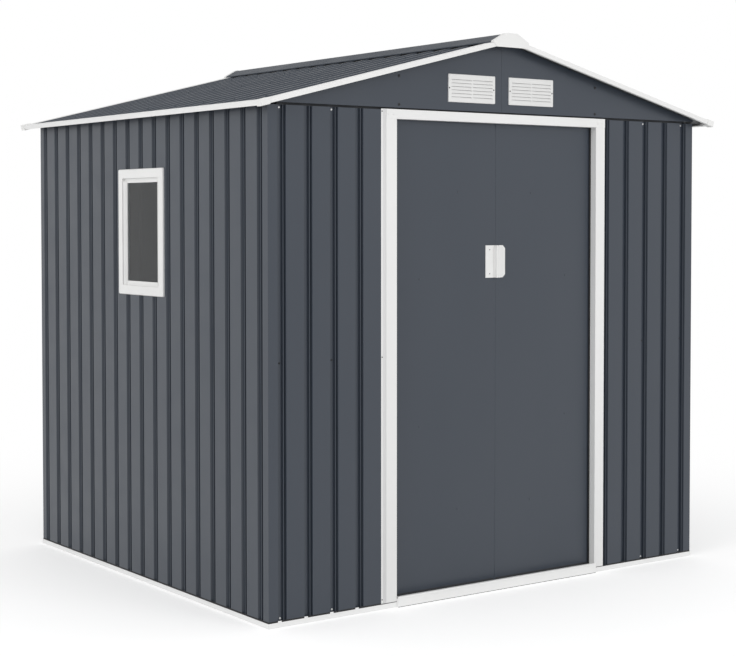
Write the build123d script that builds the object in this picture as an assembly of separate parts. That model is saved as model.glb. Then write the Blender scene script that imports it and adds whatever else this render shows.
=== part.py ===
from build123d import *
import math
import os

# Metal garden shed with a gable roof and two sliding doors, in millimetres.
# The origin is the middle of the footprint on the ground, the front faces -Y and +Z is up.

# Building
base_width = 2010.0
base_depth = 1785.0
wall_top = 1751.0
wall_to_roof = 4.5
roof_angle = 14.17

# Rolled steel sheet: grooves with a thin crest on the walls, low plain ribs on the roof
sheet_thickness = 0.8
rib_pitch = 105.0
rib_depth = 10.0
rib_floor = 25.0
rib_mouth = 34.0
crest_offset = 5.8
crest_foot = 4.2
crest_top = 2.4
crest_depth = 0.6
roof_rib_depth = 6.0
roof_rib_floor = 20.0
roof_rib_mouth = 30.0
ribs_per_sheet = 6
lap_gap = 0.2
rib_margin = 10.0
front_rib_shift = 3.6
right_rib_start = 9.0
corner_room = 1.2

# Base rails
rail_thickness = 1.5
base_lip = 17.5
rail_upstand = 45.0
wall_setback = 3.0

# Inner frame
corner_leg = 22.0
top_rail_drop = 31.0
top_rail_flange = 30.0
side_rail_inset = 57.0
shelf_rise = 14.0
shelf_margin = 2.0
shelf_clearance = 0.3
middle_rail_height = 890.0
middle_rail_leg = 40.0
middle_rail_flange = 20.0
ridge_beam_width = 90.0
ridge_beam_leg = 35.0
purlin_offset = 520.0
purlin_leg = 40.0
purlin_flange = 30.0
beam_thickness = 1.2

# Door frame
door_half = 473.5
post_face = 45.5
post_recess = 1.2
post_return = 28.0
post_flange = 21.5
post_thickness = 1.2
post_clearance = 0.8
header_height = 33.2
header_gap = 5.5
sill_height = 29.3
sill_proud = 8.0
sill_back = 30.0

# Door tracks
track_inset = 15.0
track_sole_margin = 12.5
track_rib_thickness = 2.0
track_rib_height = 12.0
channel_width = 15.0
channel_drop = 20.0

# Sliding doors
door_clearance = 5.0
door_thickness = 15.0
door_gap = 5.0
door_lap = 31.5
door_bottom = 20.0
door_head_lap = 20.2
stiffener_width = 40.0
stiffener_depth = 12.0
stiffener_end = 90.0
stiffener_shares = (0.34, 0.69)
glide_length = 40.0
glide_inset = 70.0
shoe_width = 11.0
shoe_bottom = 6.5
shoe_slot_gap = 0.5
seat_gap = 0.3
guide_neck = 8.0
guide_head_rise = 2.5
guide_clearance = 5.0

# Door pulls
pull_height = 118.5
pull_width = 43.5
pull_bottom = 1147.0
pull_plate = 3.0
pull_lip = 5.0
pull_reach = 20.0
pull_chamfer = 11.0

# Gables and vents
gable_proud = 2.8
gable_lap = 1.5
wall_slot = 8.0
gable_flange = 25.0
gable_seam = 0.6
vent_width = 215.5
vent_height = 100.0
vent_depth = 5.0
vent_inner_edge = 33.0
vent_rise = 29.5
vent_border = 13.0
vent_mullion = 7.0
vent_radius = 3.0
vent_slot = 5.0
vent_slot_count = 6
vent_lip = 1.5

# Side window
window_from_front = 887.0
window_drop = 202.0
window_width = 350.0
window_height = 472.0
window_proud = 8.0
window_border = 34.0
window_corner = 6.0
window_edge = 2.5
rim_width = 17.0
rim_front = 4.0
rim_thickness = 3.0
sleeve_wall = 4.0
sleeve_clearance = 1.0
pane_thickness = 3.0
pane_clearance = 0.3
inner_frame_width = 45.0
inner_frame_thickness = 4.0

# Roof edges and ridge
verge_overhang = 53.5
eave_overhang = 56.0
trim_thickness = 1.2
trim_drop = 9.0
trim_return = 12.0
eave_flange = 25.0
barge_rest = 6.0
ridge_open = 4.0
cap_wall = 3.0
cap_along_barge = 30.0
cap_along_eave = 28.0
trim_joint = 1.0
ridge_cap_half = 80.5
ridge_cap_rise = 22.0
ridge_cap_lip = 4.0
ridge_crown_half = 27.0
ridge_cap_round = 25.0
ridge_edge_round = 3.0
end_cap_thickness = 3.0
end_cap_wall = 2.0
end_cap_wrap = 14.0
end_cap_drop = 27.0
end_cap_taper = 10.5

# Cuts run this far past the metal
overrun = 20.0

# The metal of a fold lies to the left or to the right of its skin line
to_left = 1
to_right = -1
toward_end = 1
toward_start = -1

half_width = base_width / 2
half_depth = base_depth / 2
roof_slope = math.tan(math.radians(roof_angle))
roof_cos = math.cos(math.radians(roof_angle))
roof_sin = math.sin(math.radians(roof_angle))
floor_half = rib_floor / 2
mouth_half = rib_mouth / 2
roof_floor_half = roof_rib_floor / 2
roof_mouth_half = roof_rib_mouth / 2
rib_top = rib_depth + sheet_thickness
trim_top = roof_rib_depth + sheet_thickness + trim_thickness

# Depths inward from the outer face of the base
rib_back = wall_setback + rib_top
rail_depth = rib_back + rail_thickness
wall_back = wall_setback + sheet_thickness
gable_out = wall_setback - gable_proud
return_end = post_return + post_recess
door_front = sill_back + door_clearance
track_line = door_front + door_thickness / 2
channel_half = channel_width / 2
front_shelf_end = track_line + channel_half + shelf_margin

# Distances from the middle of the front
gable_end = half_width - wall_setback
post_outer = door_half + post_face
door_inner = door_gap / 2
door_outer = door_half + door_lap

# Heights
apex_height = wall_top + wall_to_roof + gable_end * roof_slope
gable_bottom = wall_top - gable_lap
front_wall_top = gable_bottom - wall_slot
header_top = gable_bottom - header_gap
header_bottom = header_top - header_height
door_top = header_bottom + door_head_lap
shelf_height = wall_top + shelf_rise
channel_top = shelf_height - rail_thickness
top_low = wall_top - top_rail_drop
window_bottom = wall_top - window_drop - window_height
vent_bottom = gable_bottom + vent_rise

# Runs that follow the roof slope
shelf_room = shelf_height + sheet_thickness / roof_cos + shelf_clearance
top_rail_half = (apex_height - shelf_room) / roof_slope
track_half = top_rail_half - track_inset
eave_run = (half_width + eave_overhang - trim_top * roof_sin) / roof_cos


def roof_underside(across):
    """Height of the underside of the roof pans at a distance from the middle."""
    return apex_height - abs(across) * roof_slope


def folded(skin, thickness, side=to_left):
    """Section of a folded sheet: a skin line and the same line one thickness to one side of it."""
    points = [Vector(*point) for point in skin]
    headings = [(after - before).normalized() for before, after in zip(points, points[1:])]
    normals = [Vector(-heading.Y, heading.X) * side for heading in headings]
    inner = []
    for point, before, after in zip(points, normals[:1] + normals, normals + normals[-1:]):
        inner.append(point + (before + after) * (thickness / (1 + before.dot(after))))
    return make_face(Polyline(*points, *reversed(inner), close=True))


def along_x(section, start, end):
    """Front or back piece: a section drawn as (inward from the front face, height)."""
    plane = Plane(origin=(start, -half_depth, 0), x_dir=(0, 1, 0), z_dir=(1, 0, 0))
    return extrude(plane * section, end - start)


def along_y(section, start, end):
    """Left side piece: a section drawn as (inward from the left face, height)."""
    plane = Plane(origin=(-half_width, -half_depth + end, 0), x_dir=(1, 0, 0), z_dir=(0, -1, 0))
    return extrude(plane * section, end - start)


def upright(section, bottom, top):
    """Upright piece: a plan section drawn as (across, inward from the front face)."""
    return extrude(Pos(0, -half_depth, bottom) * section, top - bottom)


def block(x_low, x_high, d_low, d_high, z_low, z_high):
    """Block between limits across, inward from the front face and in height."""
    size = (x_high - x_low, d_high - d_low, z_high - z_low)
    middle = ((x_low + x_high) / 2, -half_depth + (d_low + d_high) / 2, (z_low + z_high) / 2)
    return Pos(*middle) * Box(*size)


def other_side(shape):
    return mirror(shape, about=Plane.YZ)


def other_end(shape):
    return mirror(shape, about=Plane.XZ)


def save(name, *solids):
    shape = solids[0] if len(solids) == 1 else Compound(children=list(solids))
    shape.label = name
    export_step(shape, os.path.join("parts", name + ".step"))


# Ribbed sheet: flats joined by grooves or ribs, lapped on the floor of one where two sheets meet


def wall_groove(centre, crest_side):
    """Groove with a thin folded crest that stands beside its middle, almost flush with the flats."""
    crest = centre + crest_side * crest_offset
    return [
        (centre - mouth_half, 0),
        (centre - floor_half, rib_depth),
        (crest - crest_foot / 2, rib_depth),
        (crest - crest_top / 2, crest_depth),
        (crest + crest_top / 2, crest_depth),
        (crest + crest_foot / 2, rib_depth),
        (centre + floor_half, rib_depth),
        (centre + mouth_half, 0),
    ]


def roof_rib(centre):
    return [
        (centre - roof_mouth_half, 0),
        (centre - roof_floor_half, roof_rib_depth),
        (centre + roof_floor_half, roof_rib_depth),
        (centre + roof_mouth_half, 0),
    ]


def lap_under(rib):
    """Last rib of a sheet, which ends on the rib floor below the next sheet."""
    floor_end, depth = rib[-2]
    return rib[:-2] + [(floor_end - lap_gap, depth)]


def lap_over(rib):
    """First rib of a sheet, which lies in the last rib of the sheet before it."""
    floor_start, depth = rib[-3]
    floor_end = rib[-2][0]
    mouth_end = rib[-1][0]
    lap_step = sheet_thickness + lap_gap
    nested_end = floor_end + (mouth_end - floor_end) * lap_step / depth
    return [(floor_start + lap_gap, depth - lap_step), (nested_end, depth - lap_step), (mouth_end, 0)]


def rib_places(first, end):
    """Groove centres from the first one on, as many as end before a limit."""
    count = int((end - mouth_half - first) // rib_pitch) + 1
    return [first + rib_pitch * step for step in range(count)]


def sheet_run(start, end, ribs):
    """Sections of the lapped sheets that cover a run, each with its ribs up to its lap."""
    sections = []
    skin = [(start, 0)]
    for number, rib in enumerate(ribs, 1):
        if number % ribs_per_sheet == 0 and number < len(ribs) - 1:
            sections.append(folded(skin + lap_under(rib), sheet_thickness))
            skin = lap_over(rib)
        else:
            skin += rib
    sections.append(folded(skin + [(end, 0)], sheet_thickness))
    return sections


os.makedirs("parts", exist_ok=True)
corner_end = wall_back + corner_leg + corner_room
side_first_rib = corner_end + rib_margin + mouth_half
front_first_rib = side_first_rib + front_rib_shift

# Base rails: folded channels round the foot of the walls, mitred at the corners
base_section = folded(
    [(0, base_lip), (0, 0), (rail_depth, 0), (rail_depth, rail_upstand)], rail_thickness
)


def mitre(width, depth):
    """Plan of a rail on the front side, cut at 45 degrees at both ends."""
    reach = rail_depth + overrun
    corners = [
        (-width - overrun, -depth - overrun),
        (width + overrun, -depth - overrun),
        (width - reach, -depth + reach),
        (-width + reach, -depth + reach),
    ]
    return make_face(Polyline(*corners, close=True))


front_mitre = extrude(mitre(half_width, half_depth), rail_upstand)
side_mitre = Rot(0, 0, -90) * extrude(mitre(half_depth, half_width), rail_upstand)
upstand_end = post_outer + post_flange + trim_joint
front_rail = along_x(base_section, -half_width, -door_half) & front_mitre
front_rail -= block(
    -upstand_end, 0, rib_back - seat_gap, rail_depth + overrun, rail_thickness, rail_upstand + overrun
)
back_rail = other_end(along_x(base_section, -half_width, half_width) & front_mitre)
left_rail = along_y(base_section, 0, base_depth) & side_mitre
save("front_base_rails", front_rail, other_side(front_rail))
save("side_base_rails", left_rail, other_side(left_rail))
save("back_base_rail", back_rail)

# Door sill: a raised threshold folded from one sheet, open underneath
door_sill = block(-door_half, door_half, -sill_proud, sill_back, 0, sill_height)
door_sill -= block(
    -door_half + rail_thickness,
    door_half - rail_thickness,
    -sill_proud + rail_thickness,
    sill_back - rail_thickness,
    -overrun,
    sill_height - rail_thickness,
)
save("door_sill", door_sill)

# Lower door track: a sole behind the sill with one upright rib that the door shoes ride on
track_sole_back = track_line + track_sole_margin
track_profile = [
    (sill_back, 0),
    (track_sole_back, 0),
    (track_sole_back, rail_thickness),
    (track_line + track_rib_thickness / 2, rail_thickness),
    (track_line + track_rib_thickness / 2, track_rib_height),
    (track_line - track_rib_thickness / 2, track_rib_height),
    (track_line - track_rib_thickness / 2, rail_thickness),
    (sill_back, rail_thickness),
]
lower_track = along_x(make_face(Polyline(*track_profile, close=True)), -track_half, track_half)
save("lower_door_track", lower_track)

# Front walls: one ribbed sheet on each side of the doorway
wall_height = wall_top - rail_thickness
left_post_edge = half_width - post_outer - post_flange
left_ribs = rib_places(front_first_rib, left_post_edge)
left_skin = [(wall_setback, 0)]
for place in left_ribs:
    left_skin += wall_groove(place, toward_end)
left_skin += [(half_width - door_half - post_thickness - post_clearance, 0)]
left_sheet = Pos(-half_width, wall_setback) * folded(left_skin, sheet_thickness)
save("front_wall_left", upright(left_sheet, rail_thickness, front_wall_top))

right_start = post_outer + post_clearance
right_ribs = rib_places(right_start + right_rib_start, half_width - corner_end)
right_skin = [(right_start, rib_depth)] + wall_groove(right_ribs[0], toward_end)[2:]
for place in right_ribs[1:]:
    right_skin += wall_groove(place, toward_end)
right_skin += [(gable_end, 0)]
right_sheet = Pos(0, wall_setback) * folded(right_skin, sheet_thickness)
save("front_wall_right", upright(right_sheet, rail_thickness, front_wall_top))

# Side walls: three lapped sheets each, the left middle sheet cut for the window
side_plane = Plane(
    origin=(-half_width + wall_setback, -half_depth, wall_top), x_dir=(0, 1, 0), z_dir=(0, 0, -1)
)
side_places = rib_places(side_first_rib, base_depth - corner_end)
side_ribs = [wall_groove(place, toward_start) for place in side_places]
side_sections = sheet_run(wall_back, base_depth - wall_back, side_ribs)
plain_side = [extrude(side_plane * section, wall_height) for section in side_sections]
window_middle_y = -half_depth + window_from_front
window_middle_z = window_bottom + window_height / 2
recess_width = window_width - 2 * window_border
recess_height = window_height - 2 * window_border
sleeve_width = recess_width + 2 * sleeve_wall
sleeve_height = recess_height + 2 * sleeve_wall
window_hole = Pos(-half_width + wall_setback, window_middle_y, window_middle_z) * Box(
    2 * (rib_depth + overrun),
    sleeve_width + 2 * sleeve_clearance,
    sleeve_height + 2 * sleeve_clearance,
)
save("left_wall", *[sheet - window_hole for sheet in plain_side])
save("right_wall", *[other_side(sheet) for sheet in plain_side])

# Back wall: lapped sheets right across, closing over the ends of the side sheets
back_places = rib_places(front_first_rib, base_width - corner_end)
back_ribs = [wall_groove(place, toward_start) for place in back_places]
back_sections = sheet_run(wall_setback, base_width - wall_setback, back_ribs)
back_sheets = [
    other_end(upright(Pos(-half_width, wall_setback) * section, rail_thickness, front_wall_top))
    for section in back_sections
]
save("back_wall", *back_sheets)

# Corner posts: light angles inside the four corners
corner_reach = wall_back + corner_leg
corner_skin = [(wall_back, corner_reach), (wall_back, wall_back), (corner_reach, wall_back)]
corner_section = Pos(-half_width, 0) * folded(corner_skin, beam_thickness)
front_corner = upright(corner_section, rail_thickness, front_wall_top)
corners = [front_corner, other_side(front_corner)]
save("corner_posts", *corners, *[other_end(post) for post in corners])

# Top rails: the front one has a shelf for the door channel, the side ones lie along the roof slope
front_shelf = folded(
    [(rib_back, top_low), (rib_back, shelf_height), (front_shelf_end, shelf_height)],
    rail_thickness,
    to_right,
)
back_shelf = folded(
    [(rib_back, top_low), (rib_back, shelf_height), (rib_back + top_rail_flange, shelf_height)],
    rail_thickness,
    to_right,
)
side_flange = folded(
    [
        (rib_back, top_low),
        (rib_back, roof_underside(half_width - rib_back)),
        (rib_back + top_rail_flange, roof_underside(half_width - rib_back - top_rail_flange)),
    ],
    rail_thickness,
    to_right,
)
left_top_rail = along_y(side_flange, side_rail_inset, base_depth - side_rail_inset)
save("front_top_rail", along_x(front_shelf, -top_rail_half, top_rail_half))
save("back_top_rail", other_end(along_x(back_shelf, -top_rail_half, top_rail_half)))
save("side_top_rails", left_top_rail, other_side(left_top_rail))

# Middle rails: angles across the side and back walls at half height
middle_section = folded(
    [
        (rib_back, middle_rail_height - middle_rail_leg),
        (rib_back, middle_rail_height),
        (rib_back + middle_rail_flange, middle_rail_height),
    ],
    rail_thickness,
    to_right,
)
left_middle = along_y(middle_section, side_rail_inset, base_depth - side_rail_inset)
back_middle = other_end(along_x(middle_section, -top_rail_half, top_rail_half))
save("middle_rails", left_middle, other_side(left_middle), back_middle)

# Upper door track: an inverted channel under the front shelf
channel_section = folded(
    [
        (track_line - channel_half, channel_top - channel_drop),
        (track_line - channel_half, channel_top),
        (track_line + channel_half, channel_top),
        (track_line + channel_half, channel_top - channel_drop),
    ],
    rail_thickness,
    to_right,
)
save("upper_door_track", along_x(channel_section, -track_half, track_half))

# Door posts: folded from strip, the left flange lies on the wall and the right one behind it
left_post_skin = [
    (-door_half, return_end),
    (-door_half, post_recess),
    (-post_outer, post_recess),
    (-post_outer, wall_setback - post_thickness),
    (-post_outer - post_flange, wall_setback - post_thickness),
]
rail_notch = block(
    -post_outer - post_flange - overrun,
    post_outer + post_flange + overrun,
    rib_back - seat_gap,
    rib_back + post_return + overrun,
    top_low - seat_gap,
    header_top + overrun,
)
left_post = upright(folded(left_post_skin, post_thickness, to_right), base_lip, header_top)
save("left_door_post", left_post - rail_notch)

right_post_skin = [
    (door_half, return_end),
    (door_half, post_recess),
    (post_outer, post_recess),
    (post_outer, rib_back),
    (post_outer + post_flange, rib_back),
]
right_post = upright(folded(right_post_skin, post_thickness), base_lip, header_top)
save("right_door_post", right_post - rail_notch)

# Door header: a folded strip over the doorway, lapped on the faces of both posts
header_face = post_recess - post_thickness
header_section = folded(
    [(return_end, header_bottom), (header_face, header_bottom), (header_face, header_top)],
    post_thickness,
    to_right,
)
header = along_x(header_section, -post_outer, post_outer)
header_lap = block(
    -post_outer - overrun,
    -door_half + seat_gap,
    post_recess,
    return_end + overrun,
    header_bottom - overrun,
    header_top + overrun,
)
save("door_header", header - header_lap - other_side(header_lap))

# Gables: flat folded halves with a foot that closes on the top rail and a flange under the roof


def gable_half(has_vent):
    """Left half of the front gable."""
    inner = -gable_seam / 2
    outline = [
        (-gable_end, gable_bottom),
        (inner, gable_bottom),
        (inner, roof_underside(inner)),
        (-gable_end, roof_underside(gable_end)),
    ]
    plane = Plane(origin=(0, -half_depth + gable_out, 0), x_dir=(1, 0, 0), z_dir=(0, -1, 0))
    panel = extrude(plane * make_face(Polyline(*outline, close=True)), -sheet_thickness)
    foot_top = gable_bottom + sheet_thickness
    foot = block(-gable_end, inner, gable_out, wall_setback, gable_bottom, foot_top)
    foot += block(-top_rail_half, inner, gable_out, rib_back - seat_gap, gable_bottom, foot_top)
    drop = sheet_thickness / roof_cos
    slope_line = [
        (-gable_end, roof_underside(gable_end) - drop),
        (inner, roof_underside(inner) - drop),
        (inner, roof_underside(inner)),
        (-gable_end, roof_underside(gable_end)),
    ]
    flange = extrude(plane * make_face(Polyline(*slope_line, close=True)), -gable_flange)
    half = panel + foot + flange
    if has_vent:
        half -= block(
            -vent_inner_edge - vent_width + vent_border,
            -vent_inner_edge - vent_border,
            -overrun,
            overrun,
            vent_bottom + vent_border,
            vent_bottom + vent_height - vent_border,
        )
    return half


front_gable = gable_half(True)
back_gable = other_end(gable_half(False))
save("front_gable_left", front_gable)
save("front_gable_right", other_side(front_gable))
save("back_gable_left", back_gable)
save("back_gable_right", other_side(back_gable))

# Gable vents: moulded louvres in two columns, each slot sloping up and inward
vent_plane = Plane(
    origin=(-vent_inner_edge - vent_width / 2, -half_depth + gable_out, vent_bottom + vent_height / 2),
    x_dir=(1, 0, 0),
    z_dir=(0, -1, 0),
)
vent_body = extrude(RectangleRounded(vent_width, vent_height, vent_radius), vent_depth)
vent_body = chamfer(vent_body.faces().sort_by(Axis.Z)[-1].edges(), vent_lip)
slot_column = (vent_width - 2 * vent_border - vent_mullion) / 2
slot_pitch = (vent_height - 2 * vent_border) / vent_slot_count
slot_section = make_face(
    Polyline(
        (-overrun, -overrun - vent_slot / 2),
        (-overrun, -overrun + vent_slot / 2),
        (overrun, overrun + vent_slot / 2),
        (overrun, overrun - vent_slot / 2),
        close=True,
    )
)
slot_plane = Plane(origin=(0, 0, 0), x_dir=(0, 0, 1), z_dir=(1, 0, 0))
slot_cut = extrude(slot_plane * slot_section, slot_column / 2, both=True)
for column in (-1, 1):
    for row in range(vent_slot_count):
        slot_x = column * (slot_column + vent_mullion) / 2
        slot_y = (row - (vent_slot_count - 1) / 2) * slot_pitch + vent_depth / 2
        vent_body -= Pos(slot_x, slot_y, 0) * slot_cut
left_vent = vent_plane * vent_body
save("gable_vents", left_vent, other_side(left_vent))

# Side window: a moulded frame through the wall, a pane behind its rim and an inner frame that clamps it
window_plane = Plane(
    origin=(-half_width + wall_setback, window_middle_y, window_middle_z), x_dir=(0, 1, 0), z_dir=(1, 0, 0)
)
pane_front = rim_front + rim_thickness
pane_back = pane_front + pane_thickness
frame_depth = max(rib_top, pane_back)
glass_width = recess_width - 2 * rim_width
glass_height = recess_height - 2 * rim_width
border = extrude(RectangleRounded(window_width, window_height, window_corner), -window_proud)
border = chamfer(border.faces().sort_by(Axis.Z)[0].edges(), window_edge)
sleeve = extrude(Rectangle(sleeve_width, sleeve_height), frame_depth)
recess = extrude(RectangleRounded(recess_width, recess_height, window_corner), -window_proud - overrun)
recess += extrude(RectangleRounded(recess_width, recess_height, window_corner), rim_front)
pocket = Pos(0, 0, pane_front) * extrude(Rectangle(recess_width, recess_height), frame_depth)
daylight = extrude(Rectangle(glass_width, glass_height), 2 * overrun, both=True)
window_frame = border + sleeve - recess - pocket - daylight
pane_width = recess_width - 2 * pane_clearance
pane_height = recess_height - 2 * pane_clearance
pane_sheet = extrude(Rectangle(pane_width, pane_height), pane_thickness)
clamp_lip = extrude(Rectangle(pane_width, pane_height), frame_depth - pane_back + inner_frame_thickness)
clamp_size = (glass_width + 2 * inner_frame_width, glass_height + 2 * inner_frame_width)
clamp_plate = extrude(RectangleRounded(*clamp_size, window_corner), inner_frame_thickness)
clamp = Pos(0, 0, pane_back) * clamp_lip + Pos(0, 0, frame_depth) * clamp_plate - daylight
save("window_frame", window_plane * window_frame)
save("window_pane", window_plane * Pos(0, 0, pane_front) * pane_sheet)
save("window_inner_frame", window_plane * clamp)

# Roof beams: a ridge beam with a bent top and a purlin halfway down each slope
ridge_half = ridge_beam_width / 2
ridge_low = roof_underside(ridge_half) - ridge_beam_leg
ridge_section = folded(
    [
        (half_width - ridge_half, ridge_low),
        (half_width - ridge_half, roof_underside(ridge_half)),
        (half_width, apex_height),
        (half_width + ridge_half, roof_underside(ridge_half)),
        (half_width + ridge_half, ridge_low),
    ],
    beam_thickness,
    to_right,
)
purlin_section = folded(
    [
        (half_width - purlin_offset, roof_underside(purlin_offset) - purlin_leg),
        (half_width - purlin_offset, roof_underside(purlin_offset)),
        (half_width - purlin_offset + purlin_flange, roof_underside(purlin_offset - purlin_flange)),
    ],
    beam_thickness,
    to_right,
)
beam_start = gable_out + gable_flange
left_purlin = along_y(purlin_section, beam_start, base_depth - beam_start)
save("ridge_beam", along_y(ridge_section, beam_start, base_depth - beam_start))
save("roof_purlins", left_purlin, other_side(left_purlin))

# Roof sheets: lapped ribbed sheets on each slope, ribs up, running from ridge to eave
roof_plane = Plane(
    origin=(0, -half_depth, apex_height), x_dir=(0, 1, 0), z_dir=(roof_cos, 0, -roof_sin)
)
verge_edge = -verge_overhang + trim_thickness + seat_gap
roof_bays = round(base_depth / rib_pitch)
roof_ribs = [roof_rib(base_depth * bay / roof_bays) for bay in range(roof_bays + 1)]
roof_sections = sheet_run(verge_edge, base_depth - verge_edge, roof_ribs)
roof_start = Pos(0, 0, ridge_open)
right_roof = [
    extrude(roof_plane * roof_start * section, eave_run - trim_thickness - seat_gap - ridge_open)
    for section in roof_sections
]
save("right_roof", *right_roof)
save("left_roof", *[other_side(sheet) for sheet in right_roof])

# Eave trims: folded channels over the lower ends of the sheets, square to the slope
eave_plane = Plane(
    origin=(0, half_depth + verge_overhang, apex_height), x_dir=(roof_cos, 0, -roof_sin), z_dir=(0, -1, 0)
)
eave_section = folded(
    [
        (eave_run - eave_flange, trim_top),
        (eave_run, trim_top),
        (eave_run, -trim_drop),
        (eave_run - trim_return, -trim_drop),
    ],
    trim_thickness,
    to_right,
)
right_eave = extrude(eave_plane * eave_section, base_depth + 2 * verge_overhang)
save("eave_trims", right_eave, other_side(right_eave))

# Barge trims: the same channel up each verge, its top flange resting on the first rib
barge_flange = verge_overhang - roof_floor_half + barge_rest
barge_plane = Plane(
    origin=(0, -half_depth - verge_overhang, apex_height), x_dir=(0, 1, 0), z_dir=(roof_cos, 0, -roof_sin)
)
barge_section = folded(
    [(trim_return, -trim_drop), (0, -trim_drop), (0, trim_top), (barge_flange, trim_top)],
    trim_thickness,
    to_right,
)
barge_end = eave_run - eave_flange - trim_joint
right_barge = extrude(barge_plane * Pos(0, 0, ridge_open) * barge_section, barge_end - ridge_open)
front_barges = [right_barge, other_side(right_barge)]
save("barge_trims", *front_barges, *[other_end(trim) for trim in front_barges])

# Eave corner caps: moulded covers over the four joints of barge and eave trims
cap_height = trim_top + trim_drop
cap_outer = Pos(0, 0, barge_end + eave_flange + trim_joint - cap_along_barge) * extrude(
    Pos((cap_along_eave - cap_wall) / 2, (trim_top - trim_drop) / 2)
    * RectangleRounded(cap_along_eave + cap_wall, cap_height + 2 * cap_wall, cap_wall),
    cap_along_barge + cap_wall,
)
cap_inner = extrude(
    Pos(overrun, (trim_top - trim_drop) / 2) * Rectangle(2 * overrun, cap_height), eave_run
)
right_cap = barge_plane * (cap_outer - cap_inner)
front_caps = [right_cap, other_side(right_cap)]
save("eave_corner_caps", *front_caps, *[other_end(cap) for cap in front_caps])

# Ridge cap: a flat crown with steep sides and turned-down edges over the open ridge
cap_lip_bottom = roof_underside(ridge_cap_half - sheet_thickness) + trim_top / roof_cos + seat_gap
ridge_cap_edge = cap_lip_bottom + ridge_cap_lip
ridge_cap_top = apex_height + ridge_cap_rise
cap_tilt = math.atan2(ridge_cap_top - ridge_cap_edge, ridge_cap_half - ridge_crown_half)
edge_grow_share = (1 - math.sin(cap_tilt)) / math.cos(cap_tilt)


def ridge_face(grow, corners):
    """Area under the ridge line, grown by an offset, closed through the lower corners."""
    half = ridge_cap_half + grow
    edge = ridge_cap_edge + grow * edge_grow_share
    crown_half = ridge_crown_half + grow * math.tan(cap_tilt / 2)
    top = ridge_cap_top + grow
    edge_round = ridge_edge_round + grow
    crown_round = ridge_cap_round + grow
    line = FilletPolyline(
        corners[0],
        (-half, edge),
        (-crown_half, top),
        (crown_half, top),
        (half, edge),
        corners[-1],
        radius=[edge_round, crown_round, crown_round, edge_round],
    )
    return make_face(line.edges() + Polyline(*corners).edges())


def lip_corners(grow, low):
    return [(-ridge_cap_half - grow, low), (ridge_cap_half + grow, low)]


ridge_front = Plane(origin=(0, -half_depth - verge_overhang, 0), x_dir=(1, 0, 0), z_dir=(0, -1, 0))
cap_cut = cap_lip_bottom - overrun
ridge_cap_section = ridge_face(0, lip_corners(0, cap_lip_bottom))
ridge_cap_section -= ridge_face(-sheet_thickness, lip_corners(-sheet_thickness, cap_cut))
save("ridge_cap", extrude(ridge_front * ridge_cap_section, -base_depth - 2 * verge_overhang))

# Ridge end caps: moulded plates that close the ridge cap and cover the barge joint
plate_grow = end_cap_wall + seat_gap
plate_corners = lip_corners(plate_grow, cap_lip_bottom)
foot_half = ridge_cap_half - end_cap_taper
foot_height = apex_height - end_cap_drop
foot_corners = [(-foot_half, foot_height), (foot_half, foot_height)]
plate_face = ridge_face(plate_grow, plate_corners[:1] + foot_corners + plate_corners[1:])
rim_face = ridge_face(plate_grow, plate_corners) - ridge_face(seat_gap, lip_corners(seat_gap, cap_cut))
end_cap = extrude(ridge_front * plate_face, end_cap_thickness)
end_cap += extrude(ridge_front * rim_face, -end_cap_wrap)
save("ridge_end_caps", end_cap, other_end(end_cap))

# Sliding doors: a pan folded from one sheet, with two upright stiffeners inside


def sheet_pan():
    """Right leaf: a flat face with its four edges folded back."""
    leaf = block(door_inner, door_outer, door_front, door_front + door_thickness, door_bottom, door_top)
    leaf -= block(
        door_inner + sheet_thickness,
        door_outer - sheet_thickness,
        door_front + sheet_thickness,
        door_front + door_thickness + overrun,
        door_bottom + sheet_thickness,
        door_top - sheet_thickness,
    )
    return leaf


def stiffener(middle):
    """Hat section against the inside of the leaf."""
    half = stiffener_width / 2
    front = door_front + sheet_thickness
    skin = [
        (middle - half, front),
        (middle - half, front + stiffener_depth),
        (middle + half, front + stiffener_depth),
        (middle + half, front),
    ]
    section = folded(skin, beam_thickness, to_right)
    return upright(section, door_bottom + stiffener_end, door_top - stiffener_end)


right_leaf = sheet_pan()
right_stiffeners = []
for share in stiffener_shares:
    right_stiffeners.append(stiffener(door_inner + share * (door_outer - door_inner)))
save("right_door", right_leaf)
save("left_door", other_side(right_leaf))
save("right_door_stiffeners", *right_stiffeners)
save("left_door_stiffeners", *[other_side(bar) for bar in right_stiffeners])


# Door glides: shoes that straddle the lower rib and guides that run in the upper channel
def shoe(middle):
    section = make_face(
        Polyline(
            (track_line - shoe_width / 2, shoe_bottom),
            (track_line - shoe_width / 2, door_bottom),
            (track_line + shoe_width / 2, door_bottom),
            (track_line + shoe_width / 2, shoe_bottom),
            (track_line + track_rib_thickness / 2 + shoe_slot_gap, shoe_bottom),
            (track_line + track_rib_thickness / 2 + shoe_slot_gap, track_rib_height + seat_gap),
            (track_line - track_rib_thickness / 2 - shoe_slot_gap, track_rib_height + seat_gap),
            (track_line - track_rib_thickness / 2 - shoe_slot_gap, shoe_bottom),
            close=True,
        )
    )
    return along_x(section, middle - glide_length / 2, middle + glide_length / 2)


def guide(middle):
    head_half = channel_half - rail_thickness - shoe_slot_gap
    head_bottom = channel_top - channel_drop + guide_head_rise
    head_top = channel_top - rail_thickness - guide_clearance
    section = make_face(
        Polyline(
            (track_line - guide_neck / 2, door_top),
            (track_line - guide_neck / 2, head_bottom),
            (track_line - head_half, head_bottom),
            (track_line - head_half, head_top),
            (track_line + head_half, head_top),
            (track_line + head_half, head_bottom),
            (track_line + guide_neck / 2, head_bottom),
            (track_line + guide_neck / 2, door_top),
            close=True,
        )
    )
    return along_x(section, middle - glide_length / 2, middle + glide_length / 2)


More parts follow.
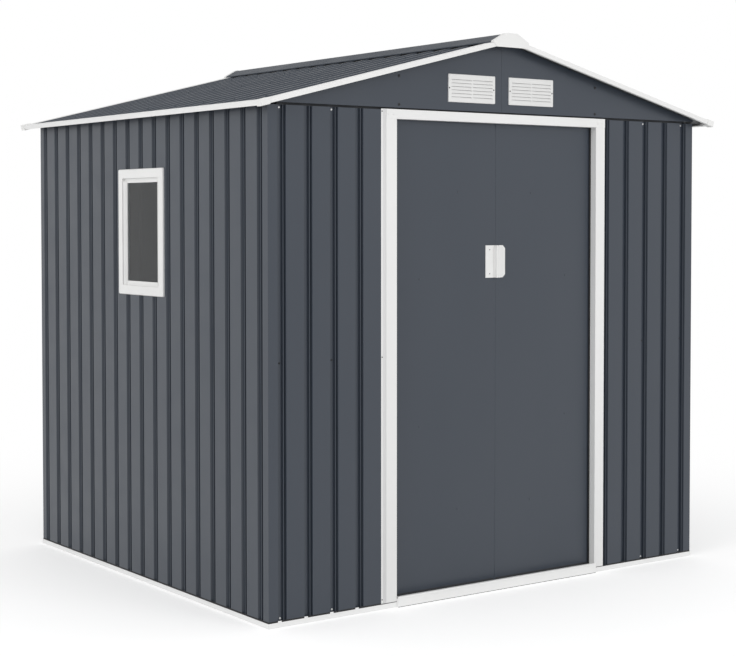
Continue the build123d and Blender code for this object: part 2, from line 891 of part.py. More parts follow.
right_glides = []
for place in (door_inner + glide_inset, door_outer - glide_inset):
    right_glides += [shoe(place), guide(place)]
save("right_door_glides", *right_glides)
save("left_door_glides", *[other_side(glide) for glide in right_glides])

# Door pulls: a screwed plate with a grip lip at the meeting edge, the right plate with cut corners
pull_plane = Plane(
    origin=(0, -half_depth + door_front, pull_bottom), x_dir=(1, 0, 0), z_dir=(0, -1, 0)
)


def door_pull(plate):
    lip = Pos(door_inner + pull_lip / 2, pull_height / 2) * Rectangle(pull_lip, pull_height)
    return pull_plane * (extrude(plate, pull_plate) + extrude(lip, pull_reach))


plain_plate = Pos(door_inner + pull_width / 2, pull_height / 2) * Rectangle(pull_width, pull_height)
far_corners = plain_plate.vertices().group_by(Axis.X)[-1]
cut_plate = chamfer(far_corners, pull_chamfer)
save("left_door_pull", other_side(door_pull(plain_plate)))
save("right_door_pull", door_pull(cut_plate))
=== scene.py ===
import bpy
import math
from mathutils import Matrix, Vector


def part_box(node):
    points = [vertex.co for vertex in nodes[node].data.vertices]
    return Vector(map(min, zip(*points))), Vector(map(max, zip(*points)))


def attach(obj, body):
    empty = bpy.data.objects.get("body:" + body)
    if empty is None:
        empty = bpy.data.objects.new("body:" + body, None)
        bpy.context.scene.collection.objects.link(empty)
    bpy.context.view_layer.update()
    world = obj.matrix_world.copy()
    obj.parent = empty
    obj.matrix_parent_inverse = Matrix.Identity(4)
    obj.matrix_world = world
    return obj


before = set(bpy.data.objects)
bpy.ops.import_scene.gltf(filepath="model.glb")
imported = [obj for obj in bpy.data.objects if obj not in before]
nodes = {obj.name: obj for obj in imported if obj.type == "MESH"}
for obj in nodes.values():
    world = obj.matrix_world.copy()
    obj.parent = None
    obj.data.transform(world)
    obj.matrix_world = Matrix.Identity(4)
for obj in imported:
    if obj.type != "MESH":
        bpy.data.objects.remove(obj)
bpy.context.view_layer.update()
bpy.ops.object.select_all(action="DESELECT")
bpy.context.scene.view_settings.view_transform = "Standard"


# Base rails and door sill: thin steel folded on a brake and powder coated white.
# The rails lie on the ground and carry the foot of every wall sheet.
# The coating has a fine orange peel and a slightly uneven gloss.
def new_finish(name):
    finish = bpy.data.materials.new(name)
    finish.use_nodes = True
    tree = finish.node_tree
    shader = tree.nodes["Principled BSDF"]
    place = tree.nodes.new("ShaderNodeTexCoord")
    return finish, tree, shader, place


def noise(tree, place, scale, detail, stretch=(1, 1, 1)):
    """Noise on the object's own coordinates, stretched where the marks run along an axis."""
    fit = tree.nodes.new("ShaderNodeMapping")
    fit.inputs["Scale"].default_value = stretch
    tree.links.new(place.outputs["Object"], fit.inputs["Vector"])
    cloud = tree.nodes.new("ShaderNodeTexNoise")
    cloud.inputs["Scale"].default_value = scale
    cloud.inputs["Detail"].default_value = detail
    tree.links.new(fit.outputs["Vector"], cloud.inputs["Vector"])
    return cloud.outputs["Fac"]


def ramp(tree, source, low, high, start=0.3, end=0.7):
    """Colour ramp between two colours, as the noise goes from start to end."""
    band = tree.nodes.new("ShaderNodeValToRGB")
    band.color_ramp.elements[0].position = start
    band.color_ramp.elements[1].position = end
    band.color_ramp.elements[0].color = (*low, 1)
    band.color_ramp.elements[1].color = (*high, 1)
    tree.links.new(source, band.inputs["Fac"])
    return band.outputs["Color"]


def spread(tree, source, low, high):
    """Maps the noise to a narrow band of values."""
    band = tree.nodes.new("ShaderNodeMapRange")
    band.inputs["From Min"].default_value = 0.3
    band.inputs["From Max"].default_value = 0.7
    band.inputs["To Min"].default_value = low
    band.inputs["To Max"].default_value = high
    tree.links.new(source, band.inputs["Value"])
    return band.outputs["Result"]


def relief(tree, shader, source, depth, strength):
    bump = tree.nodes.new("ShaderNodeBump")
    bump.inputs["Distance"].default_value = depth
    bump.inputs["Strength"].default_value = strength
    tree.links.new(source, bump.inputs["Height"])
    tree.links.new(bump.outputs["Normal"], shader.inputs["Normal"])


def coat(names, finish):
    for name in names:
        for slot in nodes[name].material_slots:
            slot.material = finish


def powder_coat(name, low, high, gloss):
    """Powder coat: two close tones, a wavering gloss and the fine waves of sprayed powder."""
    finish, tree, shader, place = new_finish(name)
    tone = noise(tree, place, 2.2, 3, (1, 1, 0.35))
    tree.links.new(ramp(tree, tone, low, high), shader.inputs["Base Color"])
    gloss_waver = spread(tree, noise(tree, place, 9, 2), gloss - 0.04, gloss + 0.05)
    tree.links.new(gloss_waver, shader.inputs["Roughness"])
    relief(tree, shader, noise(tree, place, 420, 2), 0.0003, 0.12)
    return finish


white_powder = powder_coat("white_powder_coat", (0.765, 0.765, 0.76), (0.80, 0.80, 0.795), 0.42)
# The base rails and sill take a brighter copy of the white coat: painted light that lifts the shade
# they get low down by the floor and under the doors.
base_white = powder_coat("base_white_powder_coat", (0.835, 0.835, 0.83), (0.865, 0.865, 0.86), 0.42)
coat(["front_base_rails", "side_base_rails", "back_base_rail", "door_sill"], base_white)


# Wall sheets: rolled steel strip, prepainted anthracite outside with a paler backing coat inside.
# Each groove has a folded crest on its floor, and neighbouring sheets lap groove in groove.
wall_low = (0.0375, 0.0467, 0.0625)
wall_high = (0.0415, 0.0507, 0.0665)
backing_low = (0.20, 0.205, 0.21)
backing_high = (0.235, 0.24, 0.245)
back_limit = -0.04


def facing(tree, place, direction):
    """How far a face looks in a direction, from 1 towards it to -1 away from it."""
    aim = tree.nodes.new("ShaderNodeVectorMath")
    aim.operation = "DOT_PRODUCT"
    aim.inputs[1].default_value = direction
    tree.links.new(place.outputs["Normal"], aim.inputs[0])
    return aim.outputs["Value"]


def sheet_paint(name, outward, low=wall_low, high=wall_high, shine=0.5, flank=None):
    """Anthracite outside and backing coat inside; where a flank colour is given, the rib flanks take it
    as painted light that softens their shade.
    """
    finish, tree, shader, place = new_finish(name)
    tone = noise(tree, place, 2.2, 3, (1, 1, 0.35))
    face_coat = ramp(tree, tone, low, high)
    # Paler rib flanks: painted light over the shade on the sides of the ribs.
    if flank:
        steep = tree.nodes.new("ShaderNodeMath")
        steep.operation = "ABSOLUTE"
        tree.links.new(facing(tree, place, (0, 1, 0)), steep.inputs[0])
        painted_flank_light = tree.nodes.new("ShaderNodeMix")
        painted_flank_light.data_type = "RGBA"
        tree.links.new(spread(tree, steep.outputs[0], 0, 1), painted_flank_light.inputs["Factor"])
        tree.links.new(face_coat, painted_flank_light.inputs["A"])
        painted_flank_light.inputs["B"].default_value = (*flank, 1)
        face_coat = painted_flank_light.outputs["Result"]
    inside = tree.nodes.new("ShaderNodeMath")
    inside.operation = "LESS_THAN"
    inside.inputs[1].default_value = back_limit
    tree.links.new(facing(tree, place, outward), inside.inputs[0])
    both = tree.nodes.new("ShaderNodeMix")
    both.data_type = "RGBA"
    tree.links.new(inside.outputs[0], both.inputs["Factor"])
    tree.links.new(face_coat, both.inputs["A"])
    tree.links.new(ramp(tree, tone, backing_low, backing_high), both.inputs["B"])
    tree.links.new(both.outputs["Result"], shader.inputs["Base Color"])
    tree.links.new(spread(tree, noise(tree, place, 9, 2), 0.30, 0.39), shader.inputs["Roughness"])
    shader.inputs["Specular IOR Level"].default_value = shine
    relief(tree, shader, noise(tree, place, 420, 2), 0.0003, 0.12)
    return finish


front_paint = sheet_paint("front_anthracite", (0, -1, 0))
back_paint = sheet_paint("back_anthracite", (0, 1, 0))
left_paint = sheet_paint("left_anthracite", (-1, 0, 0))
right_paint = sheet_paint("right_anthracite", (1, 0, 0))
coat(["front_wall_left", "front_wall_right"], front_paint)
coat(["back_wall"], back_paint)
coat(["left_wall"], left_paint)
coat(["right_wall"], right_paint)


# Wall screws: pan heads with a driving hole, upset from wire and coated to match.
# They sit on the floor of every second groove and hold the sheets to the three rails.
def select_faces(piece, wanted):
    """Leaves the piece in edit mode with only the wanted faces selected."""
    bpy.ops.object.mode_set(mode="EDIT")
    bpy.ops.mesh.select_mode(type="FACE")
    bpy.ops.mesh.select_all(action="DESELECT")
    bpy.ops.object.mode_set(mode="OBJECT")
    for face in piece.data.polygons:
        face.select = wanted(face)
    bpy.ops.object.mode_set(mode="EDIT")


def pan_head(name, radius, height):
    """One screw head that stands on the origin, its crown domed and sunk in the middle."""
    bpy.ops.object.select_all(action="DESELECT")
    rim = height * 0.55
    rim_middle = (0, 0, rim / 2)
    bpy.ops.mesh.primitive_cylinder_add(vertices=12, radius=radius, depth=rim, location=rim_middle)
    head = bpy.context.object
    head.name = name
    bpy.ops.object.transform_apply(location=True, rotation=True, scale=True)
    select_faces(head, lambda face: face.normal.z > 0.9)
    bpy.ops.mesh.inset(thickness=radius * 0.35)
    bpy.ops.transform.translate(value=(0, 0, height - rim))
    bpy.ops.mesh.inset(thickness=radius * 0.25)
    socket = (0, 0, -height * 0.6)
    bpy.ops.mesh.extrude_region_move(TRANSFORM_OT_translate={"value": socket})
    bpy.ops.object.mode_set(mode="OBJECT")
    return head


def set_out(first, places, turn, body, finish):
    """Puts a modelled piece at the first place and copies with their own mesh at the others.

    All are joined in one piece, which rides on a body of the part.
    """
    bpy.ops.object.select_all(action="DESELECT")
    row = [first]
    while len(row) < len(places):
        copy = bpy.data.objects.new(first.name, first.data.copy())
        bpy.context.scene.collection.objects.link(copy)
        row.append(copy)
    for piece, place in zip(row, places):
        piece.location = place
        piece.rotation_euler = turn
        piece.select_set(True)
    bpy.context.view_layer.objects.active = first
    if len(row) > 1:
        bpy.ops.object.join()
    bpy.ops.object.transform_apply(location=True, rotation=True, scale=True)
    bpy.ops.object.shade_smooth_by_angle(angle=math.radians(35))
    first.data.materials.append(finish)
    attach(first, body)


def screw_row(name, size, places, turn, body, finish):
    set_out(pan_head(name, *size), places, turn, body, finish)


to_front = (math.radians(90), 0, 0)
to_back = (math.radians(-90), 0, 0)
to_left = (0, math.radians(-90), 0)
to_right = (0, math.radians(90), 0)
wall_head = (0.0036, 0.0022)
groove_floor = 0.013
groove_pitch = 0.105
floor_middle = 0.0044
front_face = -0.8925
side_face = -1.005
front_floor = front_face + groove_floor
side_floor = side_face + groove_floor
first_front, first_right, first_side = -0.9474, 0.5280, -0.8385
left_grooves = [first_front - floor_middle + groove_pitch * step for step in range(4)]
right_grooves = [first_right - floor_middle + groove_pitch * step for step in range(4, 0, -1)]
back_grooves = [first_front + floor_middle + groove_pitch * step for step in range(19)]
side_grooves = [first_side + floor_middle + groove_pitch * step for step in range(17)]
rail_rows = {"top": 1.733, "middle": 0.883, "foot": 0.028}
black_zinc = powder_coat("black_screw_coat", (0.012, 0.013, 0.015), (0.020, 0.021, 0.024), 0.40)
for row, height in rail_rows.items():
    row_finish = black_zinc if row == "middle" else white_powder
    front_grooves = left_grooves[::2] + right_grooves[::2]
    wall_rows = {
        "front": (to_front, [(x, front_floor, height) for x in front_grooves]),
        "back": (to_back, [(x, -front_floor, height) for x in back_grooves[::2]]),
        "left": (to_left, [(side_floor, y, height) for y in side_grooves[::2]]),
        "right": (to_right, [(-side_floor, y, height) for y in side_grooves[::2]]),
    }
    for wall, (turn, places) in wall_rows.items():
        screw_row(f"{wall}_{row}_screws", wall_head, places, turn, "shed", row_finish)


# Inner frame: galvanised angles and channels behind the sheets.
# The zinc shows as spangle, flat crystals of slightly different grey.
# The two rails behind the gable feet are coloured near black: painted shade, so the slot under the
# gable feet reads dark.
def zinc_spangle(name):
    finish, tree, shader, place = new_finish(name)
    crystals = tree.nodes.new("ShaderNodeTexVoronoi")
    crystals.inputs["Scale"].default_value = 90
    tree.links.new(place.outputs["Object"], crystals.inputs["Vector"])
    dull, bright = (0.38, 0.40, 0.42), (0.56, 0.58, 0.60)
    spangle = ramp(tree, crystals.outputs["Color"], dull, bright, 0.1, 0.9)
    tree.links.new(spangle, shader.inputs["Base Color"])
    tree.links.new(spread(tree, noise(tree, place, 40, 3), 0.34, 0.50), shader.inputs["Roughness"])
    shader.inputs["Metallic"].default_value = 0.85
    return finish


zinc = zinc_spangle("galvanised_zinc")
coat(["corner_posts", "side_top_rails", "middle_rails", "ridge_beam", "roof_purlins"], zinc)
# Near-black rail colour: painted shade for the slot under the gable feet.
dark_low, dark_high = (0.012, 0.014, 0.018), (0.016, 0.018, 0.022)
rail_slot_shade = powder_coat("rail_slot_painted_shade", dark_low, dark_high, 0.55)
coat(["front_top_rail", "back_top_rail"], rail_slot_shade)

# Door frame: two folded posts and a header, coated like the trims.
# The header laps the posts and is screwed to them, and the posts stand on the base lip.
# Three small dark screws hold the flange of the left post to the wall.
coat(["left_door_post", "right_door_post", "door_header"], white_powder)
header_head = (0.0032, 0.0016)
header_row = 1.725
header_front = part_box("door_header")[0][1]
header_places = [(x, header_front, header_row) for x in (-0.511, -0.489, 0.482, 0.500)]
screw_row("header_screws", header_head, header_places, to_front, "shed", white_powder)
flange_head = (0.0022, 0.0012)
flange_front = front_face + 0.0018
flange_middle = -0.5370
flange_places = [(flange_middle, flange_front, height) for height in (1.735, 0.883, 0.034)]
screw_row("post_flange_screws", flange_head, flange_places, to_front, "shed", black_zinc)


# Frame shade strips: black strips under the sill, at the feet of the posts and behind their edges, are
# painted shade of the contact shadow and of the dark gaps there.
# The edge strips fill the gap to the doors, which slide behind them.
# A white lip is pressed on the sill, and a grey band on the flange of the left post is painted shade of
# the step between flange and face.
def eased_block(name, size, nose):
    """A block round the origin with the edges of its front face eased."""
    bpy.ops.object.select_all(action="DESELECT")
    bpy.ops.mesh.primitive_cube_add(size=1)
    block = bpy.context.object
    block.name = name
    block.scale = size
    bpy.ops.object.transform_apply(location=True, rotation=True, scale=True)
    select_faces(block, lambda face: face.normal.y < -0.9)
    bpy.ops.mesh.bevel(offset=nose, segments=2, affect="EDGES")
    bpy.ops.object.mode_set(mode="OBJECT")
    return block


def eased_strip(name, low, high, body, finish, nose=0.0004):
    """A strip that lies between two corners."""
    size = [end - start for start, end in zip(low, high)]
    middle = [(start + end) / 2 for start, end in zip(low, high)]
    set_out(eased_block(name, size, nose), [middle], (0, 0, 0), body, finish)


# Near-black finish for the strips below, which are painted shade.
black_painted_shade = powder_coat("black_painted_shade_finish", (0.010, 0.010, 0.011), (0.016, 0.016, 0.017), 0.6)
strip_proud = 0.0003
thin_nose = 0.0001
sill_low, sill_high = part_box("door_sill")
# Black strip along the foot of the sill: painted contact shadow.
sill_shade_low = (sill_low[0], sill_low[1] - strip_proud, 0)
sill_shade_high = (sill_high[0], sill_low[1], 0.0014)
eased_strip("sill_gasket", sill_shade_low, sill_shade_high, "shed", black_painted_shade, nose=thin_nose)
lip_thickness, lip_height = 0.0016, 0.0078
lip_low = (sill_low[0], sill_low[1], sill_high[2])
lip_high = (sill_high[0], sill_low[1] + lip_thickness, sill_high[2] + lip_height)
eased_strip("sill_lip", lip_low, lip_high, "shed", base_white, 0.0005)
# Grey band on the flange of the left post: painted shade of the step up to the post face.
post_step_shade = powder_coat("post_step_painted_shade", (0.645, 0.645, 0.645), (0.665, 0.665, 0.665), 0.6)
band_low = (-0.5340, flange_front - strip_proud, 0.0210)
band_high = (-0.5192, flange_front, 1.7430)
eased_strip("post_step_shade_band", band_low, band_high, "shed", post_step_shade, thin_nose)
edge_front = front_face + 0.0292
edge_back = edge_front + 0.0036
edge_foot, edge_top = sill_high[2] + 0.001, 1.7105
for side, post in ((-1, "left_door_post"), (1, "right_door_post")):
    post_low, post_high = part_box(post)
    # Black strip across the foot of each post: painted shade of the joint with the base lip.
    foot_low = (post_low[0], post_low[1] - strip_proud, post_low[2] + 0.0005)
    foot_high = (post_high[0], post_low[1], post_low[2] + 0.0026)
    eased_strip(f"{post}_foot", foot_low, foot_high, "shed", black_painted_shade, nose=thin_nose)
    # Black strip behind the inner edge of each post: painted shade of the gap to the door.
    left_edge, right_edge = sorted((side * 0.4672, side * 0.4745))
    edge_low = (left_edge, edge_front, edge_foot)
    edge_high = (right_edge, edge_back, edge_top)
    eased_strip(f"{post}_edge_strip", edge_low, edge_high, "shed", black_painted_shade)

# Wall foot: white wedges pressed between the rail lip and the left front sheet, one at each groove.
# A black strip runs along the lip on all four sides: painted shade of the gap between the lip and the
# sheets.
wedge_size = (0.0135, 0.0022, 0.0104)
wedge_shift = 0.0072
wedge_front = front_face + 0.0019
wedge_height = 0.0170
wedge_places = [(x - wedge_shift, wedge_front, wedge_height) for x in left_grooves]
foot_wedges = eased_block("foot_wedges", wedge_size, 0.0004)
set_out(foot_wedges, wedge_places, (0, 0, 0), "shed", base_white)
# Black strips along the base lip: painted shade of the gap between the lip and the sheets.
lip_shade_bottom, lip_shade_top = 0.0150, 0.0225
lip_shade_depth = 0.0026
sheet_depth = 0.0030
lip_shade_end = 1.0015
post_outside = 0.5406
lip_shade_y = (front_face + lip_shade_depth, front_face + sheet_depth)
lip_shade_x = (side_face + lip_shade_depth, side_face + sheet_depth)
side_run = (lip_shade_y[1], -lip_shade_y[1])
lip_shade_runs = {
    "front_left": ((-lip_shade_end, -post_outside), lip_shade_y),
    "front_right": ((post_outside, lip_shade_end), lip_shade_y),
    "back": ((-lip_shade_end, lip_shade_end), (-lip_shade_y[1], -lip_shade_y[0])),
    "left": (lip_shade_x, side_run),
    "right": ((-lip_shade_x[1], -lip_shade_x[0]), side_run),
}
for place, (across, along) in lip_shade_runs.items():
    run_low = (across[0], along[0], lip_shade_bottom)
    run_high = (across[1], along[1], lip_shade_top)
    eased_strip(f"{place}_gasket", run_low, run_high, "shed", black_painted_shade, nose=thin_nose)

# Door tracks: a galvanised rib on the ground and a channel under the front rail.
# The doors hang and slide between them.
coat(["lower_door_track", "upper_door_track"], zinc)

# Gables: plain folded halves in the same paint as the walls, meeting at a seam under the ridge.
# Each half is screwed to a strut behind it.
coat(["front_gable_left", "front_gable_right"], front_paint)
coat(["back_gable_left", "back_gable_right"], back_paint)
gable_head = (0.0052, 0.0024)
strut_middle = 0.465
strut_rows = (1.761, 1.860)
gable_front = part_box("front_gable_left")[0][1]
gable_spots = [(x, z) for x in (-strut_middle, strut_middle) for z in strut_rows]
gable_places = [(x, gable_front, z) for x, z in gable_spots]
screw_row("front_gable_screws", gable_head, gable_places, to_front, "shed", black_zinc)
gable_places = [(x, -gable_front, z) for x, z in gable_spots]
screw_row("back_gable_screws", gable_head, gable_places, to_back, "shed", black_zinc)


# Vents: louvres moulded in white plastic over holes in the gable, with a small screw at each side.
# A slat behind each slot keeps rain out, and the mould leaves a fine even grain.
def moulded_plastic(name, low, high, gloss):
    finish, tree, shader, place = new_finish(name)
    tree.links.new(ramp(tree, noise(tree, place, 5, 2), low, high), shader.inputs["Base Color"])
    gloss_waver = spread(tree, noise(tree, place, 30, 2), gloss - 0.03, gloss + 0.05)
    tree.links.new(gloss_waver, shader.inputs["Roughness"])
    relief(tree, shader, noise(tree, place, 900, 2), 0.0002, 0.15)
    return finish


white_low, white_high = (0.765, 0.765, 0.757), (0.80, 0.80, 0.792)
white_plastic = moulded_plastic("white_moulded_plastic", white_low, white_high, 0.5)
vent_low_tone, vent_high_tone = (0.715, 0.715, 0.708), (0.745, 0.745, 0.738)
vent_plastic = moulded_plastic("vent_moulded_plastic", vent_low_tone, vent_high_tone, 0.5)
coat(["gable_vents"], vent_plastic)
vent_head = (0.0024, 0.0012)
vent_low, vent_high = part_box("gable_vents")
vent_height = (vent_low[2] + vent_high[2]) / 2
vent_places = [(x, vent_low[1], vent_height) for x in (-0.2450, -0.0405, 0.0370, 0.2420)]
screw_row("vent_screws", vent_head, vent_places, to_front, "shed", black_zinc)
slat_size = (0.0905, 0.0010, 0.0042)
slat_middle = vent_low[1] + 0.0013
slat_drop = 0.0033
slot_pitch = 0.01233
slat_places = []
for x in (-0.1899, -0.0916, 0.0916, 0.1899):
    for row in range(6):
        slat_places.append((x, slat_middle, vent_height + (row - 2.5) * slot_pitch - slat_drop))
vent_slats = eased_block("vent_slats", slat_size, 0.0003)
set_out(vent_slats, slat_places, (0, 0, 0), "shed", vent_plastic)

# Side window: a moulded outer frame, a smoky acrylic pane and a moulded frame that clamps it inside.
# The pane is thin and slightly wavy, and takes a soft reflection.
# A sloped strip stands in the recess at each upright side of the pane.
coat(["window_frame", "window_inner_frame"], white_plastic)
pane_finish, pane_tree, pane_shader, pane_place = new_finish("smoky_acrylic")
pane_low, pane_high = (0.50, 0.53, 0.55), (0.56, 0.59, 0.61)
pane_tone = ramp(pane_tree, noise(pane_tree, pane_place, 3, 2), pane_low, pane_high)
pane_tree.links.new(pane_tone, pane_shader.inputs["Base Color"])
pane_gloss = spread(pane_tree, noise(pane_tree, pane_place, 14, 3), 0.02, 0.08)
pane_tree.links.new(pane_gloss, pane_shader.inputs["Roughness"])
pane_shader.inputs["Transmission Weight"].default_value = 1.0
pane_shader.inputs["IOR"].default_value = 1.27
coat(["window_pane"], pane_finish)
strip_size = (0.0140, 0.0010, 0.4020)
strip_slope = math.atan2(0.0095, 0.0110)
strip_reach = 0.1315
strip_x, window_y, window_z = -1.0035, -0.0055, 1.3035
for side, end in ((1, "back"), (-1, "front")):
    strip_place = (strip_x, window_y + side * strip_reach, window_z)
    strip_turn = (0, 0, -side * strip_slope)
    glazing_strip = eased_block(f"window_{end}_strip", strip_size, 0.0002)
    set_out(glazing_strip, [strip_place], strip_turn, "shed", white_plastic)

# Roof: ribbed sheets lapped like the walls, with a folded ridge cap.
# White trims cover the edges, and moulded caps close their corners and the ends of the ridge.
# The roof anthracite is painted brighter than the same anthracite on the walls, with its gloss turned
# almost off: painted light in place of the sheen of the roof.
roof_low, roof_high = (0.050, 0.058, 0.071), (0.055, 0.063, 0.076)
# Paler colour for the roof rib flanks: painted light that softens the shade on them.
roof_flank = (0.076, 0.086, 0.103)
roof_paint = sheet_paint("roof_anthracite", (0, 0, 1), roof_low, roof_high, 0.03, roof_flank)
coat(["left_roof", "right_roof"], roof_paint)
ridge_low, ridge_high = (0.0375, 0.0465, 0.0615), (0.0415, 0.0505, 0.0655)
ridge_paint = powder_coat("ridge_anthracite", ridge_low, ridge_high, 0.5)
ridge_shader = ridge_paint.node_tree.nodes["Principled BSDF"]
ridge_shader.inputs["Specular IOR Level"].default_value = 0.2
coat(["ridge_cap"], ridge_paint)
coat(["barge_trims", "eave_trims"], white_powder)
coat(["eave_corner_caps", "ridge_end_caps"], white_plastic)
grey_low, grey_high = (0.046, 0.055, 0.070), (0.052, 0.061, 0.076)
grey_screw = powder_coat("anthracite_screw_coat", grey_low, grey_high, 0.32)
roof_tilt = math.radians(14.17)
roof_apex = 2.0085
rib_rise = 0.0068


def on_roof(side, reach, rise):
    """The x and z of a point at a distance from the ridge and a height above the sheet."""
    x = side * (reach + rise * math.sin(roof_tilt))
    return x, roof_apex - reach * math.tan(roof_tilt) + rise * math.cos(roof_tilt)


roof_ribs = [front_face + groove_pitch * step for step in range(1, 17, 2)]
for side, across in ((-1, "left"), (1, "right")):
    roof_turn = (0, side * roof_tilt, 0)
    roof_places = []
    for reach in (0.20, 0.53, 0.94):
        x, z = on_roof(side, reach, rib_rise)
        roof_places += [(x, y, z) for y in roof_ribs]
    roof_row = f"{across}_roof_screws"
    screw_row(roof_row, wall_head, roof_places, roof_turn, "shed", grey_screw)

# Ridge fillers: blocks of black foam, pressed in between the ribs under both edges of the ridge cap.
# They keep rain and insects out of the open ridge.
filler_size = (0.012, 0.068, 0.0058)
filler_reach = 0.0720
filler_rise = 0.0008 + filler_size[2] / 2
black_foam = moulded_plastic("black_foam", (0.008, 0.008, 0.009), (0.014, 0.014, 0.015), 0.9)
for side, across in ((-1, "left"), (1, "right")):
    x, z = on_roof(side, filler_reach, filler_rise)
    filler_turn = (0, side * roof_tilt, 0)
    filler_places = [(x, front_face + groove_pitch * (bay + 0.5), z) for bay in range(17)]
    filler = eased_block(f"{across}_ridge_fillers", filler_size, 0.0012)
    set_out(filler, filler_places, filler_turn, "shed", black_foam)

# Doors: flat sheet pans with galvanised stiffeners, black nylon glides and white moulded pulls.
# The stiffeners and glides are screwed through the face of each pan.
coat(["left_door", "right_door"], front_paint)
coat(["left_door_stiffeners", "right_door_stiffeners"], zinc)
coat(["left_door_pull", "right_door_pull"], white_plastic)
black_nylon = moulded_plastic("black_nylon", (0.018, 0.018, 0.018), (0.026, 0.026, 0.026), 0.55)
coat(["left_door_glides", "right_door_glides"], black_nylon)
door_head = (0.0042, 0.0014)
door_low, door_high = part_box("left_door")
door_spots = ((0.174, 1.460), (0.174, 0.310), (0.348, 1.149), (0.348, 0.621))
for side, body in ((-1, "left_door"), (1, "right_door")):
    door_places = [(side * x, door_low[1], z) for x, z in door_spots]
    screw_row(f"{body}_screws", door_head, door_places, to_front, body, grey_screw)

# Door seals and shade: a dark strip along the foot of each door, painted shade where the door meets the
# sill, a strip in the seam and a bumper between the pulls.
# The strip and the bumper are pushed on the left door and nearly close the gap to the right one.
# Two small screws hold the left pull.
# Dark grey strip at the foot of each door: painted shade where the door meets the sill.
foot_shade_low_tone, foot_shade_high_tone = (0.020, 0.022, 0.026), (0.026, 0.028, 0.032)
door_foot_shade = powder_coat("door_foot_painted_shade", foot_shade_low_tone, foot_shade_high_tone, 0.6)
foot_shade_thickness = 0.0014
foot_shade_end_gap = 0.004
foot_shade_bottom, foot_shade_top = 0.002, 0.0160
for body in ("left_door", "right_door"):
    pan_low, pan_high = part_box(body)
    foot_shade_low = (pan_low[0] + foot_shade_end_gap, pan_low[1] - foot_shade_thickness, pan_low[2] + foot_shade_bottom)
    foot_shade_high = (pan_high[0] - foot_shade_end_gap, pan_low[1], pan_low[2] + foot_shade_top)
    eased_strip(f"{body}_foot_shade", foot_shade_low, foot_shade_high, body, door_foot_shade)
seam_low_tone, seam_high_tone = (0.040, 0.049, 0.065), (0.044, 0.053, 0.069)
seam_finish = moulded_plastic("grey_seam_rubber", seam_low_tone, seam_high_tone, 0.36)
seam_width = 0.0048
seam_front, seam_back = door_low[1] + 0.0002, door_low[1] + 0.0100
seam_end_gap = 0.004
seam_low = (door_high[0], seam_front, door_low[2] + seam_end_gap)
seam_high = (door_high[0] + seam_width, seam_back, door_high[2] - seam_end_gap)
eased_strip("meeting_strip", seam_low, seam_high, "left_door", seam_finish, nose=0.0003)
pull_low, pull_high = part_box("left_door_pull")
bumper_nose = 0.0006
bumper_depth = 0.0190
bumper_low = (pull_high[0], pull_low[1] + 0.0006, pull_low[2] + 0.001)
bumper_high = (pull_high[0] + seam_width, pull_low[1] + bumper_depth, pull_high[2] - 0.001)
eased_strip(
    "pull_bumper", bumper_low, bumper_high, "left_door", white_plastic, bumper_nose
)
pull_head = (0.0020, 0.0010)
pull_screw_x = -0.0275
pull_plate_front = door_low[1] - 0.003
pull_places = [(pull_screw_x, pull_plate_front, z) for z in (1.1615, 1.2495)]
screw_row("pull_screws", pull_head, pull_places, to_front, "left_door", black_zinc)

# Floor: a wide pale studio floor that takes the soft shadow of the shed.
# Far from the shed it runs out into the same white as the surround.
floor_width = 120
floor_drop = -0.0005
floor_glow = 0.34
fade_start, fade_end = 1.4, 4.0
bpy.ops.mesh.primitive_plane_add(size=floor_width, location=(0, 0, floor_drop))
floor = bpy.context.object
floor.name = "studio_floor"
bpy.ops.object.transform_apply(location=True, rotation=True, scale=True)
floor_finish, floor_tree, floor_shader, floor_place = new_finish("pale_floor")
floor_shader.inputs["Base Color"].default_value = (0.86, 0.86, 0.86, 1)
floor_shader.inputs["Roughness"].default_value = 0.9
floor_shader.inputs["Specular IOR Level"].default_value = 0.1
floor_shader.inputs["Emission Color"].default_value = (1, 1, 1, 1)
floor_rays = floor_tree.nodes.new("ShaderNodeLightPath")
floor_seen = floor_tree.nodes.new("ShaderNodeMath")
floor_seen.operation = "MAXIMUM"
floor_tree.links.new(floor_rays.outputs["Is Camera Ray"], floor_seen.inputs[0])
floor_tree.links.new(floor_rays.outputs["Is Glossy Ray"], floor_seen.inputs[1])
floor_lift = floor_tree.nodes.new("ShaderNodeMath")
floor_lift.operation = "MULTIPLY"
floor_lift.inputs[1].default_value = floor_glow
floor_tree.links.new(floor_seen.outputs[0], floor_lift.inputs[0])
floor_tree.links.new(floor_lift.outputs[0], floor_shader.inputs["Emission Strength"])
floor_away = floor_tree.nodes.new("ShaderNodeVectorMath")
floor_away.operation = "LENGTH"
floor_tree.links.new(floor_place.outputs["Object"], floor_away.inputs[0])
floor_fade = floor_tree.nodes.new("ShaderNodeMapRange")
floor_fade.interpolation_type = "SMOOTHSTEP"
floor_fade.inputs["From Min"].default_value = fade_start
floor_fade.inputs["From Max"].default_value = fade_end
floor_tree.links.new(floor_away.outputs["Value"], floor_fade.inputs["Value"])
floor_far = floor_tree.nodes.new("ShaderNodeMath")
floor_far.operation = "MULTIPLY"
floor_tree.links.new(floor_fade.outputs["Result"], floor_far.inputs[0])
floor_tree.links.new(floor_seen.outputs[0], floor_far.inputs[1])
floor_white = floor_tree.nodes.new("ShaderNodeEmission")
floor_mix = floor_tree.nodes.new("ShaderNodeMixShader")
floor_tree.links.new(floor_far.outputs[0], floor_mix.inputs["Fac"])
floor_tree.links.new(floor_shader.outputs["BSDF"], floor_mix.inputs[1])
floor_tree.links.new(floor_white.outputs["Emission"], floor_mix.inputs[2])
floor_tree.links.new(floor_mix.outputs["Shader"], floor_tree.nodes["Material Output"].inputs["Surface"])
floor.data.materials.append(floor_finish)

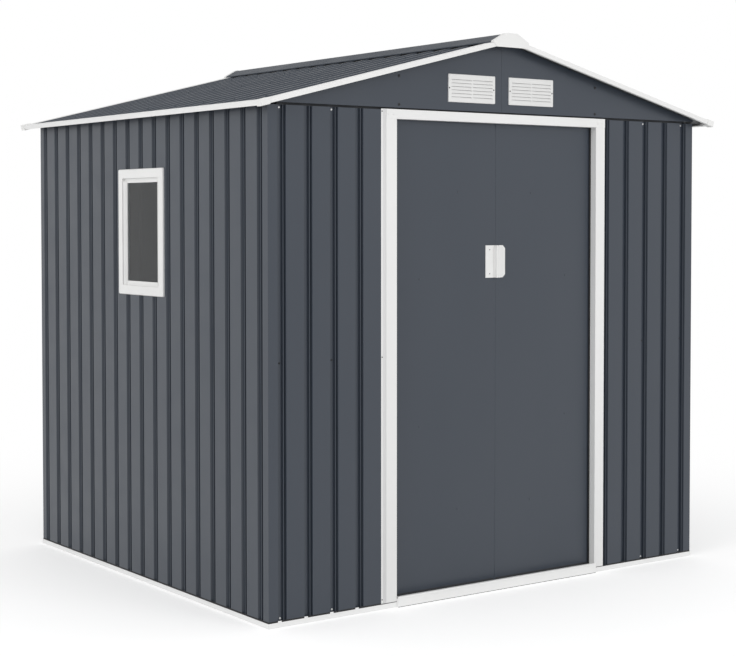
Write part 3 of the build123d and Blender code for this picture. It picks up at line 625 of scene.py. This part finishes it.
# Studio surround: an even pale dome, white where the camera, gloss or glass looks at it.
# It gives most of the light, so the shadows stay soft.
light_level, seen_level = 0.72, 1.0
surround = bpy.data.worlds.new("studio_surround")
bpy.context.scene.world = surround
surround.use_nodes = True
sky = surround.node_tree
backdrop = sky.nodes["Background"]
backdrop.inputs["Color"].default_value = (1, 1, 1, 1)
sky_rays = sky.nodes.new("ShaderNodeLightPath")
sky_seen = sky.nodes.new("ShaderNodeMath")
sky_seen.operation = "MAXIMUM"
sky.links.new(sky_rays.outputs["Is Camera Ray"], sky_seen.inputs[0])
sky.links.new(sky_rays.outputs["Is Transmission Ray"], sky_seen.inputs[1])
sky_gloss = sky.nodes.new("ShaderNodeMath")
sky_gloss.operation = "MAXIMUM"
sky.links.new(sky_seen.outputs[0], sky_gloss.inputs[0])
sky.links.new(sky_rays.outputs["Is Glossy Ray"], sky_gloss.inputs[1])
sky_level = sky.nodes.new("ShaderNodeMapRange")
sky_level.inputs["To Min"].default_value = light_level
sky_level.inputs["To Max"].default_value = seen_level
sky.links.new(sky_gloss.outputs[0], sky_level.inputs["Value"])
sky.links.new(sky_level.outputs["Result"], backdrop.inputs["Strength"])


# Lamps: two wide soft boxes, the stronger one on the left and a weaker one in front.
# Gloss sees the even surround instead of their outlines.
def soft_box(name, place, target, size, power):
    lamp = bpy.data.lights.new(name, "AREA")
    lamp.shape = "DISK"
    lamp.size = size
    lamp.energy = power
    holder = bpy.data.objects.new(name, lamp)
    bpy.context.scene.collection.objects.link(holder)
    holder.location = place
    holder.rotation_euler = (Vector(target) - Vector(place)).to_track_quat("-Z", "Y").to_euler()
    holder.visible_glossy = False


lamp_target = (0, 0, 1.0)
lamp_width = 5.0
soft_box("left_lamp", (-8.0, -2.5, 3.2), lamp_target, lamp_width, 190)
soft_box("front_lamp", (1.5, -8.5, 3.2), lamp_target, lamp_width, 180)

# Camera: a long lens at eye height, off the left front corner.
# The lens is shifted down and left to frame the shed as the photograph does.
lens = bpy.data.cameras.new("camera")
lens.sensor_fit = "HORIZONTAL"
lens.sensor_width = 36
lens.lens = 79.78
lens.shift_x = -0.0256
lens.shift_y = -0.0755
camera = bpy.data.objects.new("camera", lens)
bpy.context.scene.collection.objects.link(camera)
camera.location = (-3.8595, -5.460, 1.3729)
camera.rotation_euler = (math.radians(88.019), 0, math.radians(-36.19))
bpy.context.scene.camera = camera
